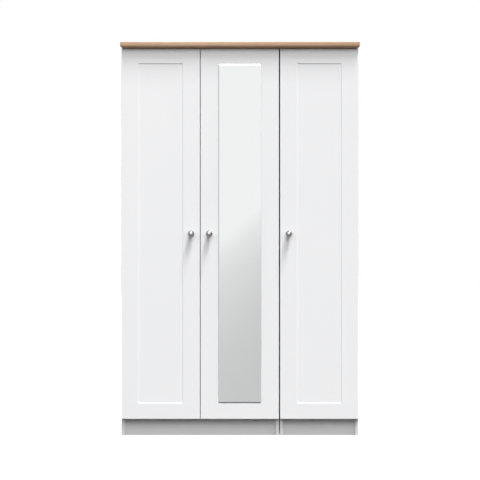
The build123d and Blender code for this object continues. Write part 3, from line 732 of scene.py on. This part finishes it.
sweep_shade = sweep.ramp(sweep.math("DIVIDE", slanted, SOFT_EDGE_RISE), edge_stops)
sideways = sweep.math("DIVIDE", split.outputs["X"], ahead)
far_left = sweep.remap(sideways, *FAR_LEFT, 0.0, 1.0)
sweep_shade = sweep.mix(far_left, sweep_shade, grey(FAR_LEFT_SHADE))
close_by = sweep.remap(ahead, *CLOSE_BY, 1.0, 0.0)
sweep_shade = sweep.mix(close_by, sweep_shade, grey(CLOSE_BY_SHADE))
sweep_outline = [
    (SWEEP_START, SWEEP_CLEAR),
    (SWEEP_FLAT, SWEEP_CLEAR),
    (SWEEP_DEPTH, SWEEP_LOW),
    (SWEEP_DEPTH + SWEEP_LEAN, SWEEP_TOP),
]
reflected_screen(
    "reflected_sweep",
    [(x, door_face - out, z) for out, z in sweep_outline for x in (-SWEEP_HALF, SWEEP_HALF)],
    [(0, 1, 3, 2), (2, 3, 5, 4), (4, 5, 7, 6)],
    sweep,
    sweep_shade,
)

# A screen high to the left glows only in reflections: a painted highlight, the bright spot on the
# knobs.
BOX_DEPTH = 6.0
BOX_LEFT = -6.0
BOX_RIGHT = -0.4
BOX_LOW = 2.25
BOX_HIGH = 7.5
BOX_STRENGTH = 2.8
box_place = door_face - BOX_DEPTH
box_corners = [
    (BOX_LEFT, box_place, BOX_LOW),
    (BOX_RIGHT, box_place, BOX_LOW),
    (BOX_RIGHT, box_place, BOX_HIGH),
    (BOX_LEFT, box_place, BOX_HIGH),
]
knob_highlight_screen = Surface("reflected_knob_highlight_screen")
reflected_screen("reflected_knob_highlight_screen", box_corners, RECTANGLE, knob_highlight_screen, grey(BOX_STRENGTH))

# Dark screens left and right of the doors, seen only in reflections, paint dark rims on the knobs.
SIDE_PLACE = 4.5
SIDE_NEAR = 0.03
SIDE_FAR = 4.0
SIDE_TOP = 2.2
for side, place, value in (("left", -SIDE_PLACE, 0.10), ("right", SIDE_PLACE, 0.02)):
    name = f"reflected_{side}_side"
    side_corners = [
        (place, door_face - SIDE_NEAR, 0.0),
        (place, door_face - SIDE_FAR, 0.0),
        (place, door_face - SIDE_FAR, SIDE_TOP),
        (place, door_face - SIDE_NEAR, SIDE_TOP),
    ]
    reflected_screen(name, side_corners, RECTANGLE, Surface(name), grey(value))

# A scrim just over the top board takes the glare of the steep lamps off it.
SCRIM_GAP = 0.006
SCRIM_PASSES = 0.64
board_low, board_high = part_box("top_board")
gauze = Surface("scrim")
gauze.show(gauze.add("ShaderNodeBsdfTransparent", {"Color": grey(SCRIM_PASSES)}))
scrim_height = board_high.z + SCRIM_GAP
scrim_corners = level(board_low.x, board_high.x, board_low.y, board_high.y, scrim_height)
scrim = stage_mesh("scrim", scrim_corners, RECTANGLE, gauze)
scrim.visible_camera = False
scrim.visible_glossy = False

# ---- Light ------------------------------------------------------------------------------------

# The world is white to the camera and in mirrors. As light it is less bright overhead and near
# the horizon. The limits are heights of a direction, 0 level and 1 straight up.
AMBIENT = 1.0
AMBIENT_OVERHEAD = 0.35
OVERHEAD = (0.5, 0.95)
AMBIENT_HORIZON = 0.40  # as a share of the ambient
HORIZON = (0.0, 0.3)
world = bpy.data.worlds.new("studio")
bpy.context.scene.world = world
world.use_nodes = True
sky = Nodes(world.node_tree)
direction = sky.add("ShaderNodeTexCoord").outputs["Generated"]
height = sky.add("ShaderNodeSeparateXYZ", {0: direction}).outputs["Z"]
ambient = sky.remap(height, *OVERHEAD, AMBIENT, AMBIENT_OVERHEAD)
ambient = sky.math("MULTIPLY", ambient, sky.remap(height, *HORIZON, AMBIENT_HORIZON, 1.0))
background = sky.tree.nodes["Background"]
sky.feed(background.inputs["Color"], grey(1))
sky.feed(background.inputs["Strength"], sky.remap(sky.seen(), 0.0, 1.0, ambient, 1.0))


def sun(name, towards, share, spread, glossy=True):
    """A distant lamp. It adds its share to a white surface that faces it squarely."""
    data = bpy.data.lights.new(name, "SUN")
    data.energy = share * math.pi
    data.angle = math.radians(spread)
    lamp = bpy.data.objects.new(name, data)
    lamp.rotation_euler = Vector(towards).to_track_quat("Z", "Y").to_euler()
    lamp.visible_glossy = glossy
    bpy.context.scene.collection.objects.link(lamp)


# The lamps stand one above another, a little to the right. Each has its slope in degrees, the
# share that it adds to the doors and its spread in degrees.
LAMP_SIDE = 0.22  # sideways for each metre up
LAMPS = (
    ("front", 41.0, 0.220, 40.0),
    ("key", 66.0, 0.160, 10.0),
    ("high", 75.5, 0.130, 9.0),
    ("top", 80.5, 0.040, 3.0),
)
for name, slope, door_share, lamp_spread in LAMPS:
    rise = math.tan(math.radians(slope))
    towards = Vector((LAMP_SIDE * rise, -1.0, rise))
    sun(name, towards, door_share * towards.length, lamp_spread)

# Two fills light the left side and the back, without a glare on the top board.
FILL_SHARE = 0.26
FILL_SPREAD = 20.0
sun("left_fill", (-1.0, 0.35, 0.25), FILL_SHARE, FILL_SPREAD, glossy=False)
sun("rear_fill", (-0.2, 1.0, 0.30), FILL_SHARE, FILL_SPREAD, glossy=False)

# ---- Camera -----------------------------------------------------------------------------------

CAMERA_DISTANCE = 12.0
CAMERA_HEIGHT = 0.9102
VIEW_WIDTH = 2.2314  # at the doors
SENSOR = 36.0
camera_data = bpy.data.cameras.new("camera")
camera_data.sensor_width = SENSOR
camera_data.lens = SENSOR * CAMERA_DISTANCE / VIEW_WIDTH
camera = bpy.data.objects.new("camera", camera_data)
camera.location = (0, door_face - CAMERA_DISTANCE, CAMERA_HEIGHT)
camera.rotation_euler = (math.pi / 2, 0, 0)
bpy.context.scene.collection.objects.link(camera)
bpy.context.scene.camera = camera
bpy.context.scene.view_settings.view_transform = "Standard"
